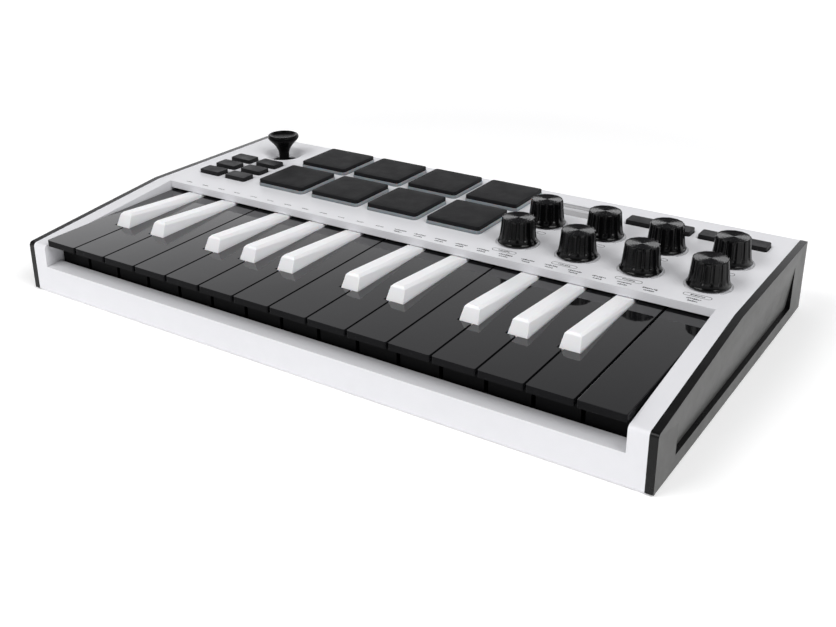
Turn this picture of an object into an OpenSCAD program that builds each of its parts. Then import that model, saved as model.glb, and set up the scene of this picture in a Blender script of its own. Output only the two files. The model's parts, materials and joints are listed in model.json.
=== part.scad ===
// Compact keyboard controller: 25 small keys, 8 pads, 8 knobs, 10 buttons and a thumb joystick.
// Origin: centre of the footprint on the surface it stands on. +X right, +Y to the rear, +Z up.

/* [Body] */
// Overall width, over the end cheeks
body_w = 318; // [318:1:330]
// Overall depth
body_d = 177; // [177:1:185]
// Height of the body's underside above the surface it stands on
foot_gap = 0.8; // [0.8:0.1:2]
// Height of the flat panel above the body's underside
panel_rise = 32.6; // [32.2:0.1:33]
// Height of the end cheeks at the front, above the body's underside
front_rise = 23.8; // [22:0.2:26]
// Thickness of each end cheek
cheek_t = 3.3; // [2.5:0.1:4]
// Wall thickness of the case
wall = 2.2; // [1.8:0.1:2.4]
// Radius of the top front corner of the cheeks and the side bars
nose_r = 2; // [1:0.5:3]

/* [Keys] */
// Width of the opening that the keys lie in
key_opening = 296; // [296:1:300]
// Gap between neighbouring keys
key_gap = 1; // [0.5:0.1:1.1]
// Height of the natural keys' tops above the body's underside
natural_rise = 26.6; // [26:0.2:27]
// Thickness of a natural key's front lip
lip_t = 3; // [2.5:0.1:3.5]
// Height of the sharps' tops above the naturals, at the front
sharp_rise = 6.4; // [5.5:0.1:7]
// Width of a sharp at its base
sharp_w = 8.6; // [8:0.1:9]
// Downward travel of the keys, in degrees at the pivot
key_swing = 2.5; // [1:0.1:2.5]

/* [Controls] */
// Side of a square pad
pad_w = 28.7; // [27:0.1:30]
// Height of a pad above the panel
pad_rise = 3.4; // [2:0.1:3.5]
// Largest radius of a knob, at its skirt
knob_r = 9.2; // [8.5:0.1:9.5]
// Height of a knob above the panel
knob_rise = 12.2; // [10:0.2:13]
// Number of flutes round a knob
knob_flutes = 14; // [12:1:22]
// Width of a small button
button_w = 13.6; // [12:0.1:13.8]
// Depth of a small button
button_d = 8.2; // [7:0.1:8.6]
// Radius of the joystick's cap
cap_r = 8.7; // [7:0.1:9]

/* [Rear] */
// Radius of the pedal jack's bore
jack_r = 3.2; // [3.2:0.05:3.3]

/* [Hidden] */
$fn = 48;
tiny = 0.01;
slip = 0.05;                                // radial clearance of a running fit

z0 = foot_gap;                              // underside of the body
front_y = -body_d / 2;
rear_y = body_d / 2;
panel_z = z0 + panel_rise;
panel_t = 2.4;
under_z = panel_z - panel_t;                // underside of the panel
front_z = z0 + front_rise;
case_w = body_w - 2 * cheek_t;
edge_y = -3.4;                              // front face of the panel
edge_z = z0 + 28.9;                         // underside of the lip along that face
edge_t = 2.2;
knee_y = -4.2;                              // where the side profile turns level
apron_z = z0 + 13;                          // shelf of the notch below the key fronts
shelf_d = 8.5;

// Side bars, hollow inside
bar_w = (case_w - key_opening) / 2;
bar_skin = 1.9;
bar_x = key_opening / 2 + bar_w / 2;

// Base plate
base_t = 2.2;
base_top = z0 + base_t;
base_inset = bar_skin + 0.15;
boss_y = [-70, 4, 76];                      // along the side bars
apron_boss_x = 60;
boss_r = 2.6;
boss_x = key_opening / 2 + boss_r + 0.1;
pilot_r = 1.15;
screw_r = 1.1;
screw_head_r = 2;
screw_head_t = 1.2;

// Keys
key_span = key_opening - 1;
key_pitch = key_span / 15;
key_left = -key_span / 2;
natural_z = z0 + natural_rise;
key_front = front_y + 1.5;
key_back = -1;                              // rear end of a key's top, under the panel's edge
key_slope = 1.3 / (key_back - key_front);   // a key's top rises a little to the rear
skirt_y = -79;
skirt_z = z0 + 11.5;
skirt_t = 1.2;
sharp_front = -55.3;
sharp_back = key_back;
sharp_slot = sharp_w / 2 + 0.7;             // half width of the gap for a sharp
sharp_top = natural_z + sharp_rise;
sharp_back_top = edge_z + 0.6;
sharp_duck = [-6.2, -4.3];                  // where a sharp's top dips to pass under the panel
sharp_shift = [0, -1.6, 1.8, 0, -2.1, 0, 2.3];
has_sharp = [false, true, true, false, true, true, true];
pivot_y = 31;
pivot_z = z0 + 17;
shaft_r = 1.5;
barrel_r = 3.1;
lever_w = 4.6;
lever_z = pivot_z - barrel_r;
lever_h = 2 * barrel_r;
naturals = [1:15];
sharp_gaps = [for (k = [1:14]) if (has_sharp[k % 7]) k];

// Key frame and contact strip
frame_z = base_top;
frame_t = 2;
frame_front = -76;
frame_back = pivot_y + 6;
rail_y = -66;
rail_h = 4.6;
upright = [2.4, 7];                         // plan size of the shaft's uprights
dome_y = -30;
dome_h = 2.2;
dome_reach = (pivot_y - dome_y) * sin(key_swing);
dome_z = lever_z - dome_reach - 0.3 - dome_h;  // base of the domes, which a pressed key just meets

// Pads
pad_x = -36.6;
pad_y = 48.6;
pad_pitch_x = 34.7;
pad_pitch_y = 36.2;
pad_rim_w = pad_w + 0.5;
pad_rim_rise = 1.5;                         // height of the rim's top above the panel
pad_hole = pad_rim_w + 0.7;
pad_flange = pad_hole + 1;
pad_bottom = under_z - 2.2;
pad_travel = 0.8;

// Knobs
knob_x = 49.5;
knob_y = 17.8;
knob_pitch_x = 29.4;
knob_pitch_y = 28.4;
knob_gap = 0.6;                             // under the skirt
knob_top_r = 7.4;
knob_z = panel_z + knob_gap;
spindle_r = 3;

// Buttons: the centres of six at the left and four at the rear right
left_buttons = [for (r = [0:2]) for (c = [0:1]) [-137.9 + 18 * c, 19.6 + 12.6 * r]];
rear_buttons = [for (c = [0:3]) [87.8 + 17.5 * c, 69.6]];
buttons = concat(left_buttons, rear_buttons);
button_rise = 2;
button_travel = 0.8;
button_corner = 1;
button_flange = 1.4;                        // how much wider the flange under the panel is
button_foot = under_z - 3.6;                // lower end of a button's stem

// Joystick
stick_x = -127.2;
stick_y = 66.2;
stick_rise = 11.6;                          // height of the cap above the panel
stick_pivot = under_z - 8.5;
dish_r = 11;
dish_depth = 3.4;
dish_boss_r = 12.5;
stick_hole_r = 6.8;
ring_out = 9;
ring_in = 5.6;
ring_h = 5;
trunnion_r = 1.4;

// Display window
display_x = 57.5;
display_y = 69;
display_w = 33;
display_d = 15;

// Boards and sockets
board_posts = [[-146, 54], [-108.2, 20], [36.5, 20], [36.5, 66], [144, 32]];
board_t = 1.6;
board_z = under_z - 7.2;                    // top face of the control board
main_z = base_top + 3;
main_x = [-142, 130];                       // the main board's extent
main_y = [40, 83.5];
main_posts_x = [-120, -40, 40, 120];
main_posts_y = [44, 78];
control_x = 147;
control_y = [14, 84];
stick_gap = [34, 30];                       // gap in the control board round the joystick
encoder_w = 12.4;
encoder_h = 6.4;
switch_w = 6;
socket_d = 16;                              // depth of the USB socket
usb_x = -85;
jack_x = -52;
socket_z = z0 + 13;
usb_w = 12.4;
usb_h = 11.2;
usb_hole_w = 8.6;
usb_hole_h = 7.9;
socket_y = rear_y - 0.2;
jack_len = 20;
jack_nose_r = 5;
jack_y = rear_y - wall - 0.2;               // mouth of the pedal jack, just behind the rear wall

// Feet
foot_r = 7;
foot_recess = 1.2;
foot_x = 138;
foot_y = 74;

function pad_centre(i) = [pad_x + (i % 4 - 1.5) * pad_pitch_x, pad_y + (floor(i / 4) - 0.5) * pad_pitch_y];
function knob_centre(i) = [knob_x + (i % 4) * knob_pitch_x, knob_y + floor(i / 4) * knob_pitch_y];
function gap_x(k) = key_left + k * key_pitch;
function sharp_x(k) = gap_x(k) + sharp_shift[k % 7];
function beside_sharp(k) = k > 0 && k < 15 && has_sharp[k % 7];
function waist_left(n) = beside_sharp(n - 1) ? sharp_x(n - 1) + sharp_slot : gap_x(n - 1) + key_gap / 2;
function waist_right(n) = beside_sharp(n) ? sharp_x(n) - sharp_slot : gap_x(n) - key_gap / 2;
function two(n) = n < 10 ? str("0", n) : str(n);

NATURAL_NODES = [for (n = naturals) str("natural_key_", two(n))];
SHARP_NODES = [for (i = [1:len(sharp_gaps)]) str("sharp_key_", two(i))];
PAD_NODES = [for (i = [1:8]) str("pad_", i)];
KNOB_NODES = [for (i = [1:8]) str("knob_", i)];
BUTTON_NODES = [for (i = [1:len(buttons)]) str("button_", two(i))];

// ---- shared shapes ----

// Rectangle with round corners, centred
module round_rect(w, d, r) {
    square([w - 2 * r, d], center = true);
    square([w, d - 2 * r], center = true);
    for (x = [-1, 1], y = [-1, 1])
        translate([x * (w / 2 - r), y * (d / 2 - r)]) circle(r);
}

// Block with round upright corners, standing on z
module block(w, d, z, h, r) {
    translate([0, 0, z]) linear_extrude(h) round_rect(w, d, r);
}

// Outline of the case seen from the side, shrunk by a margin, with a round nose. X is depth, Y is height
module side_outline(margin = 0, floor_z = z0) {
    m = margin;
    nose = [front_y + nose_r + m, front_z - nose_r - m];
    polygon([
        [front_y + m, floor_z], [rear_y - m, floor_z], [rear_y - m, panel_z - m],
        [knee_y, panel_z - m], [nose.x, nose.y + nose_r], [front_y + m, nose.y]
    ]);
    translate(nose) circle(nose_r);
}

// A side outline given a thickness across the body, from x up
module across(x, t) {
    translate([x, 0, 0]) rotate([90, 0, 90]) linear_extrude(t) children();
}

// ---- case ----

module side_bar() {
    difference() {
        across(-bar_w / 2, bar_w) side_outline();
        across(-bar_w / 2 + bar_skin, bar_w - 2 * bar_skin) side_outline(wall, z0 - tiny);
    }
}

module panel_plate() {
    across(-case_w / 2 + tiny, case_w - 2 * tiny) polygon([
        [edge_y, edge_z], [edge_y, panel_z], [rear_y, panel_z],
        [rear_y, under_z], [edge_y + edge_t, under_z], [edge_y + edge_t, edge_z]
    ]);
}

module rear_wall() {
    translate([-case_w / 2 + tiny, rear_y - wall, z0]) cube([case_w - 2 * tiny, wall, panel_z - z0 - 1]);
}

module apron() {
    across(-key_opening / 2 - tiny, key_opening + 2 * tiny) polygon([
        [front_y, z0], [front_y, apron_z], [front_y + shelf_d, apron_z + 0.5],
        [front_y + shelf_d, apron_z - 4], [front_y + shelf_d - 1.8, apron_z - 4],
        [front_y + shelf_d - 1.8, apron_z - 1.6], [front_y + wall, apron_z - wall], [front_y + wall, z0]
    ]);
}

module bar_screws() {
    for (x = [-1, 1] * boss_x, y = boss_y) translate([x, y, 0]) children();
}

module apron_screws() {
    for (x = [-1, 1] * apron_boss_x) translate([x, front_y + wall + boss_r + 0.1, 0]) children();
}

module screw_places() {
    bar_screws() children();
    apron_screws() children();
}

module screw_bosses() {
    bar_screws() translate([0, 0, base_top]) cylinder(r = boss_r, h = front_z - base_top - 4);
    apron_screws() translate([0, 0, base_top]) cylinder(r = boss_r, h = apron_z - wall - base_top + 0.3);
}

module panel_holes() {
    h = panel_t + 2;
    z = under_z - 1;
    for (i = [0:7]) translate(pad_centre(i)) block(pad_hole, pad_hole, z, h, 2.5);
    for (b = buttons) translate(b) block(button_w + 0.7, button_d + 0.7, z, h, button_corner + 0.3);
    for (i = [0:7]) translate(knob_centre(i)) translate([0, 0, z]) cylinder(r = 4, h = h);
    translate([display_x, display_y]) block(display_w, display_d, z, h, 1);
    translate([stick_x, stick_y, z - dish_depth]) cylinder(r = stick_hole_r, h = h + dish_depth);
    translate([stick_x, stick_y, panel_z - dish_depth])
        cylinder(r1 = stick_hole_r, r2 = dish_r, h = dish_depth + tiny);
}

module top_case() color("gainsboro") {
    difference() {
        union() {
            for (s = [-1, 1]) translate([s * bar_x, 0, 0]) side_bar();
            panel_plate();
            rear_wall();
            apron();
            screw_bosses();
            // Wall round the joystick's dish, under the panel
            translate([stick_x, stick_y, panel_z - dish_depth - 0.8])
                cylinder(r = dish_boss_r, h = dish_depth - panel_t + 1.8);
        }
        // The base plate fits inside the walls
        translate([-bar_x, 0, 0]) translate([-bar_w / 2 + bar_skin, front_y + wall, z0 - 1])
            cube([case_w - 2 * bar_skin, body_d - 2 * wall, base_t + 1]);
        panel_holes();
        screw_places() translate([0, 0, base_top - 1]) cylinder(r = pilot_r, h = 8.5);
        translate([usb_x, rear_y, socket_z]) cube([usb_w + 0.4, 3 * wall, usb_h + 0.4], center = true);
        translate([jack_x, rear_y, socket_z]) rotate([90, 0, 0])
            cylinder(r = jack_nose_r - 0.4, h = 3 * wall, center = true);
    }
    // Posts that the control board hangs from
    for (p = board_posts)
        translate([p.x, p.y, board_z]) cylinder(r = 2, h = under_z - board_z + 0.5);
}

module bottom_case() color("dimgray") {
    w = case_w - 2 * base_inset;
    d = body_d - 2 * wall - 0.3;
    vent = [3, 26];
    vent_pitch = 14;
    vent_y = 56;
    difference() {
        translate([-w / 2, -d / 2, z0]) cube([w, d, base_t]);
        screw_places() {
            translate([0, 0, z0 - 1]) cylinder(r = screw_r + 0.3, h = base_t + 2);
            translate([0, 0, z0 - 1]) cylinder(r = screw_head_r + 0.3, h = screw_head_t + 1.1);
        }
        for (x = [-1, 1] * foot_x, y = [-1, 1] * foot_y)
            translate([x, y, z0 - 1]) cylinder(r = foot_r + 0.2, h = foot_recess + 1);
        // Ventilation slots under the boards
        for (i = [-4:4]) translate([i * vent_pitch, vent_y])
            block(vent.x, vent.y, z0 - 1, base_t + 2, 1.4);
    }
    // Posts under the main board
    for (x = main_posts_x, y = main_posts_y)
        translate([x, y, base_top - tiny]) cylinder(r = 2.5, h = main_z - base_top + tiny);
}

// One cheek, its inner face at x = 0 and its outer face at x = cheek_t
module cheek() {
    pocket = [front_y + 19, rear_y - 17];
    pocket_z = z0 + 5.8;
    pocket_depth = 2.1;
    pocket_top = [front_z - 5, panel_z - 6.6];
    proud = 0.2;
    difference() {
        across(0, cheek_t) side_outline();
        // A wedge, deepest along its floor and running out to nothing at its top
        hull() {
            translate([cheek_t - pocket_depth, pocket[0], pocket_z])
                cube([pocket_depth + proud, pocket[1] - pocket[0], tiny]);
            for (i = [0, 1]) translate([cheek_t, pocket[i] - i * tiny, pocket_top[i]])
                cube([proud, tiny, tiny]);
        }
    }
}

module end_cheeks() color("#2b2b2c") {
    translate([case_w / 2, 0, 0]) cheek();
    mirror([1, 0, 0]) translate([case_w / 2, 0, 0]) cheek();
}

module rubber_feet() color("#1c1c1c")
    for (x = [-1, 1] * foot_x, y = [-1, 1] * foot_y)
        translate([x, y, 0]) cylinder(r = foot_r, h = z0 + foot_recess);

module case_screws() color("silver")
    screw_places() difference() {
        union() {
            translate([0, 0, z0 + 0.1]) cylinder(r = screw_head_r, h = screw_head_t);
            translate([0, 0, z0 + 0.1]) cylinder(r = screw_r, h = 8);
        }
        for (a = [0, 90]) rotate(a) translate([-1.3, -0.3, z0]) cube([2.6, 0.6, 0.9]);
    }

// ---- keys ----

// Bar from under the key top back to the pivot barrel, with its bore
module key_lever(x, w, y_front) {
    difference() {
        union() {
            translate([x - w / 2, y_front, lever_z]) cube([w, pivot_y - y_front, lever_h]);
            translate([x - w / 2, pivot_y, pivot_z]) rotate([0, 90, 0]) cylinder(r = barrel_r, h = w);
        }
        translate([x - w / 2 - 1, pivot_y, pivot_z]) rotate([0, 90, 0])
            cylinder(r = shaft_r + slip, h = w + 2);
    }
}

// Side view of a natural's top plate between two places along it, level below and rising above
module key_profile(from, to) {
    rises = [for (y = [from, to]) natural_z + key_slope * (y - key_front)];
    polygon([[from, natural_z - lip_t], [from, rises[0]], [to, rises[1]], [to, natural_z - lip_t]]);
}

module natural_key(n) color("#17171a") {
    left = gap_x(n - 1) + key_gap / 2;
    w = key_pitch - key_gap;
    waist = [waist_left(n), waist_right(n)];
    waist_w = waist[1] - waist[0];
    skirt_w = w - 0.8;
    shoulder = sharp_front - 0.7;
    // Top plate, with its waist between the sharps
    across(left, w) key_profile(key_front, shoulder);
    across(waist[0], waist_w) key_profile(shoulder - tiny, key_back);
    // Skirt under the front of the key, open below
    difference() {
        translate([left + 0.4, skirt_y, skirt_z]) cube([skirt_w, 22, natural_z - skirt_z - lip_t + tiny]);
        translate([left + 0.4 + skirt_t, skirt_y + skirt_t, skirt_z - 1])
            cube([skirt_w - 2 * skirt_t, 30, natural_z - skirt_z - lip_t]);
    }
    // Web from the top plate down to the lever
    x = (waist[0] + waist[1]) / 2;
    web_z = lever_z + 2;
    translate([x - lever_w / 2, skirt_y + skirt_t - tiny, web_z])
        cube([lever_w, key_back - skirt_y - skirt_t, natural_z - lip_t - web_z + tiny]);
    key_lever(x, lever_w, skirt_y + skirt_t - tiny);
}

module sharp_key(k) color("white") {
    x = sharp_x(k);
    base_z = natural_z - 8;
    chamfer = 1;
    top_w = sharp_w - 1.5;
    lean = 3;                               // how far the front face leans back
    under_edge = edge_z - 0.4;
    // Cap: a bar with leaning sides and chamfered top edges, lower at the rear, where it passes
    // under the panel
    difference() {
        sharp_cap(x, base_z, chamfer, top_w, lean);
        across(x - sharp_w, 2 * sharp_w) polygon([
            [sharp_duck[0], sharp_top], [sharp_duck[0], sharp_back_top + 0.4], [sharp_duck[1], under_edge],
            [sharp_back + 1, under_edge], [sharp_back + 1, sharp_top]
        ]);
    }
    key_lever(x, lever_w - 0.6, sharp_front + 2);
}

module sharp_cap(x, base_z, chamfer, top_w, lean) {
    dip = sharp_top - sharp_back_top;
    hull() {
        translate([x - sharp_w / 2, sharp_front, base_z]) cube([sharp_w, sharp_back - sharp_front, 8]);
        translate([x - top_w / 2, sharp_front + lean - 0.4, sharp_top - chamfer - 0.3]) cube([top_w, 1, 0.3]);
        translate([x - top_w / 2 + chamfer, sharp_front + lean + 0.6, sharp_top - 0.1])
            cube([top_w - 2 * chamfer, 1, 0.1]);
        translate([x - top_w / 2, sharp_back - 1, sharp_back_top - chamfer - 0.3]) cube([top_w, 1, 0.3]);
        translate([x - top_w / 2 + chamfer, sharp_back - 1, sharp_top - dip - 0.1])
            cube([top_w - 2 * chamfer, 1, 0.1]);
    }
}

// Plate under the keys, posts and the shaft that every key turns on
module key_frame() color("#303033") {
    w = key_opening - 1.4;
    translate([-w / 2, frame_front, frame_z]) cube([w, frame_back - frame_front, frame_t]);
    // Stop rail with its felt, under the key skirts
    translate([-w / 2, rail_y, frame_z]) cube([w, 4, rail_h]);
    translate([-w / 2, pivot_y, pivot_z]) rotate([0, 90, 0]) cylinder(r = shaft_r, h = w);
    // Uprights that hold the shaft, at the ends and at the gaps with no sharp
    ends = w / 2 - upright.x / 2;
    for (x = concat([-ends, ends], [for (k = [3, 7, 10, 14]) gap_x(k)]))
        translate([x - upright.x / 2, pivot_y - upright.y / 2, frame_z])
            cube([upright.x, upright.y, pivot_z - frame_z + shaft_r + 1.1]);
    // Contact strip: one dome under each key
    translate([-w / 2, dome_y - 5, frame_z + frame_t - tiny]) cube([w, 10, dome_z - frame_z - frame_t]);
    for (n = naturals) dome((waist_left(n) + waist_right(n)) / 2);
    for (k = sharp_gaps) dome(sharp_x(k));
}

module dome(x) {
    translate([x, dome_y, dome_z - 2 * tiny]) cylinder(r1 = 3, r2 = 1.8, h = dome_h);
}

// ---- controls ----

module pad(i) color("#2e2e32") translate(pad_centre(i)) {
    block(pad_w, pad_w, panel_z + pad_rim_rise - tiny, pad_rise - pad_rim_rise + tiny, 2);
    block(pad_rim_w, pad_rim_w, under_z - 0.6, panel_z + pad_rim_rise - under_z + 0.6, 2.6);
    block(pad_flange, pad_flange, pad_bottom, under_z - pad_bottom - 0.15, 3);
}

module knob(i) color("#0f0f10") translate(knob_centre(i)) {
    body_h = knob_rise - knob_gap;
    skirt_h = 2.4;
    difference() {
        rotate_extrude() polygon([
            [0, knob_z], [knob_r - 0.3, knob_z], [knob_r, knob_z + 0.5], [knob_r - 1.0, knob_z + 1.6],
            [knob_r - 1.35, knob_z + skirt_h], [knob_top_r, knob_z + body_h - 0.6],
            [knob_top_r - 0.5, knob_z + body_h], [0, knob_z + body_h]
        ]);
        // Flutes, round-bottomed and leaning in with the side
        for (f = [0:knob_flutes - 1]) rotate(f * 360 / knob_flutes)
            translate([knob_r - 0.65, 0, knob_z + skirt_h]) rotate([0, -5, 0])
                cylinder(r = 0.75, h = body_h, $fn = 16);
        translate([0, 0, knob_z - 1]) cylinder(r = 5.2, h = 1.8);
    }
    // Spindle that carries the knob
    translate([0, 0, board_z + 2.6]) cylinder(r = spindle_r, h = knob_z - board_z);
}

module button(i) color("#26262a") translate(buttons[i]) {
    block(button_w, button_d, under_z - 0.6, panel_z + button_rise - under_z + 0.6, button_corner);
    block(button_w + button_flange, button_d + button_flange, under_z - 2, 1.85, button_corner + 0.5);
    translate([0, 0, button_foot]) cylinder(r = 2, h = 2);
}

// Ring that tilts fore and aft on two trunnions and carries the stick on two more
module joystick_gimbal() color("#3a3a3e") translate([stick_x, stick_y, stick_pivot]) {
    difference() {
        union() {
            translate([0, 0, -ring_h / 2]) linear_extrude(ring_h)
                difference() {
                    round_rect(2 * ring_out, 2 * ring_out, 2);
                    round_rect(2 * ring_in, 2 * ring_in, 1);
                }
            for (s = [-1, 1]) translate([s * ring_out, 0, 0]) rotate([0, s * 90, 0])
                translate([0, 0, -tiny]) cylinder(r = trunnion_r, h = 3.5);
        }
        rotate([90, 0, 0]) cylinder(r = trunnion_r + slip, h = 4 * ring_out, center = true);
    }
}

module joystick_stick() color("#0f0f10") translate([stick_x, stick_y, 0]) {
    cap_top = panel_z + stick_rise;
    rim_h = 2.2;
    rotate_extrude() polygon([
        [0, stick_pivot - 3.2], [3.4, stick_pivot - 3.2], [3.4, stick_pivot + 3.2], [2.8, under_z - 2],
        [2.9, panel_z + 0.6], [3.6, panel_z + 3.4], [5.4, panel_z + 6], [cap_r - 0.6, cap_top - rim_h - 0.6],
        [cap_r, cap_top - rim_h + 0.4], [cap_r, cap_top - 0.6], [cap_r - 0.8, cap_top],
        [cap_r - 1.6, cap_top - 0.1], [cap_r - 2.6, cap_top - 1.0], [0, cap_top - 1.6]
    ]);
    translate([0, 0, stick_pivot]) rotate([90, 0, 0])
        cylinder(r = trunnion_r, h = 2 * ring_out - 1, center = true);
}

// ---- electronics ----

module joystick_post(s) {
    post_t = 2.4;
    x = stick_x + s * (ring_out + 2.1);
    difference() {
        translate([x - post_t / 2, stick_y - 4, main_z + board_t - tiny])
            cube([post_t, 8, stick_pivot + 3 - main_z - board_t]);
        translate([x, stick_y, stick_pivot]) rotate([0, 90, 0])
            cylinder(r = trunnion_r + slip, h = 2 * post_t, center = true);
    }
}

module usb_socket() {
    depth = socket_d;
    difference() {
        translate([usb_x - usb_w / 2, socket_y - depth, socket_z - usb_h / 2]) cube([usb_w, depth, usb_h]);
        translate([usb_x - usb_hole_w / 2, socket_y - depth + 3, socket_z - usb_hole_h / 2])
            cube([usb_hole_w, depth, usb_hole_h]);
    }
    translate([usb_x - usb_w / 2, socket_y - depth, main_z + board_t - tiny])
        cube([usb_w, depth - 3, socket_z - usb_h / 2 - main_z - board_t + 2 * tiny]);
}

module jack_socket() {
    body = 24;
    difference() {
        union() {
            translate([jack_x, jack_y, socket_z]) rotate([90, 0, 0]) cylinder(r = jack_nose_r, h = 6);
            translate([jack_x - 8, jack_y - body, main_z + board_t - tiny])
                cube([16, body - 2.6, socket_z + 7 - main_z - board_t]);
        }
        translate([jack_x, jack_y + 1, socket_z]) rotate([90, 0, 0]) cylinder(r = jack_r, h = jack_len + 1);
    }
}

module encoder() {
    difference() {
        translate([-encoder_w / 2, -encoder_w / 2, board_z]) cube([encoder_w, encoder_w, encoder_h]);
        translate([0, 0, board_z + 2.5]) cylinder(r = spindle_r + slip, h = encoder_h);
    }
}

module electronics() color("#2f6b45") {
    // Control board under the panel, open round the joystick and clear of the key levers
    difference() {
        translate([-control_x, control_y[0], board_z - board_t])
            cube([2 * control_x, control_y[1] - control_y[0], board_t]);
        translate([stick_x, stick_y, board_z]) cube([stick_gap.x, stick_gap.y, 6], center = true);
    }
    for (i = [0:7]) translate(knob_centre(i)) encoder();
    // A pressure sensor under each pad and a switch under each button
    for (i = [0:7]) translate(pad_centre(i))
        block(pad_w, pad_w, board_z - tiny, pad_bottom - pad_travel - 0.3 - board_z, 1);
    for (b = buttons) translate(b)
        block(switch_w, switch_w, board_z - tiny, button_foot - button_travel - 0.2 - board_z, 0.5);
    // Display module and its window, just below the panel's face
    translate([display_x, display_y])
        block(display_w - 0.2, display_d - 0.2, board_z - tiny, panel_z - 0.4 - board_z, 0.9);
    // Main board, standing on the base plate
    translate([main_x[0], main_y[0], main_z])
        cube([main_x[1] - main_x[0], main_y[1] - main_y[0], board_t]);
    for (s = [-1, 1]) joystick_post(s);
    usb_socket();
    jack_socket();
}

// ---- the nodes ----

top_case();
bottom_case();
end_cheeks();
key_frame();
electronics();
rubber_feet();
case_screws();
for (n = naturals) natural_key(n);
for (i = [0:len(sharp_gaps) - 1]) sharp_key(sharp_gaps[i]);
for (i = [0:7]) pad(i);
for (i = [0:7]) knob(i);
for (i = [0:len(buttons) - 1]) button(i);
joystick_gimbal();
joystick_stick();
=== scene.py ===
"""Looks of a compact keyboard controller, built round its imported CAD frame. Metres, +Z up."""

import json
import math
import random

import bmesh
import bpy
from mathutils import Matrix, Vector


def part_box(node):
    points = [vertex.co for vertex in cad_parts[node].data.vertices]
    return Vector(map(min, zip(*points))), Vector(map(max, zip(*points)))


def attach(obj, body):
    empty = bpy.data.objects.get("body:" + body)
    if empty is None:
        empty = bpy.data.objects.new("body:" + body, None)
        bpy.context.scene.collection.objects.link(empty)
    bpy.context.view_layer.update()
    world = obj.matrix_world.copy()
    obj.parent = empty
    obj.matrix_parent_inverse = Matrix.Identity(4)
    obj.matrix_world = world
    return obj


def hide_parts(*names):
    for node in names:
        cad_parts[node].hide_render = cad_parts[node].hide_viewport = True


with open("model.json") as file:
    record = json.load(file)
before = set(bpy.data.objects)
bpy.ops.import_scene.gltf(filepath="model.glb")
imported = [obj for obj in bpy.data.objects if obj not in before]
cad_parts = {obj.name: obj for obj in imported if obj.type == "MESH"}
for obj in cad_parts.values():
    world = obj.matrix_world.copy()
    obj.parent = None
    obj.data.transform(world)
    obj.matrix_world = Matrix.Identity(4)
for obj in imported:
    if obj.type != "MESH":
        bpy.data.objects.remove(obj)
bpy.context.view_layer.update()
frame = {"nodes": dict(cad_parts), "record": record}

MM = 0.001
TAU = 2 * math.pi
HAIR = 0.02 * MM          # closer than this counts as touching
WELD_GAP = 0.003 * MM     # CAD vertices nearer than this are one
FLAT_ANGLE = math.radians(0.6)
INK_RISE = 0.02 * MM      # printed marks stand this far above the panel
INK_SINK = 0.05 * MM      # and reach this far into it
MARK_SEED = 7
CASE_LO, CASE_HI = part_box("top_case")
PANEL_Z = CASE_HI.z
PANEL_T = 2.4 * MM
UNDER_Z = PANEL_Z - PANEL_T
BASE_Z = CASE_LO.z
NATURALS = sorted(n for n in frame["nodes"] if n.startswith("natural_key_"))
SHARPS = sorted(n for n in frame["nodes"] if n.startswith("sharp_key_"))
PADS = sorted(n for n in frame["nodes"] if n.startswith("pad_"))
KNOBS = sorted(n for n in frame["nodes"] if n.startswith("knob_"))
BUTTONS = sorted(n for n in frame["nodes"] if n.startswith("button_"))


def centre(node):
    lo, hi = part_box(node)
    return (lo + hi) / 2


# ---- camera ----

SENSOR = 0.036
LENS = 46.57
CAMERA_AT = Vector((260.21, -389.24, 216.63)) * MM
CAMERA_AZ, CAMERA_EL, CAMERA_ROLL = (math.radians(a) for a in (34.399, 22.326, -0.691))


def make_camera():
    data = bpy.data.cameras.new("camera")
    data.sensor_width = SENSOR * 1000
    data.lens = LENS
    data.shift_x, data.shift_y = 0.0285, -0.0750
    data.clip_start, data.clip_end = 0.01, 20
    back = Vector((math.sin(CAMERA_AZ) * math.cos(CAMERA_EL),
                   -math.cos(CAMERA_AZ) * math.cos(CAMERA_EL), math.sin(CAMERA_EL)))
    right = Vector((math.cos(CAMERA_AZ), math.sin(CAMERA_AZ), 0))
    up = back.cross(right)
    x = right * math.cos(CAMERA_ROLL) + up * math.sin(CAMERA_ROLL)
    y = up * math.cos(CAMERA_ROLL) - right * math.sin(CAMERA_ROLL)
    camera = bpy.data.objects.new("camera", data)
    camera.matrix_world = Matrix.Translation(CAMERA_AT) @ Matrix((x, y, back)).transposed().to_4x4()
    bpy.context.scene.collection.objects.link(camera)
    bpy.context.scene.camera = camera


# ---- node trees ----

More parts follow.
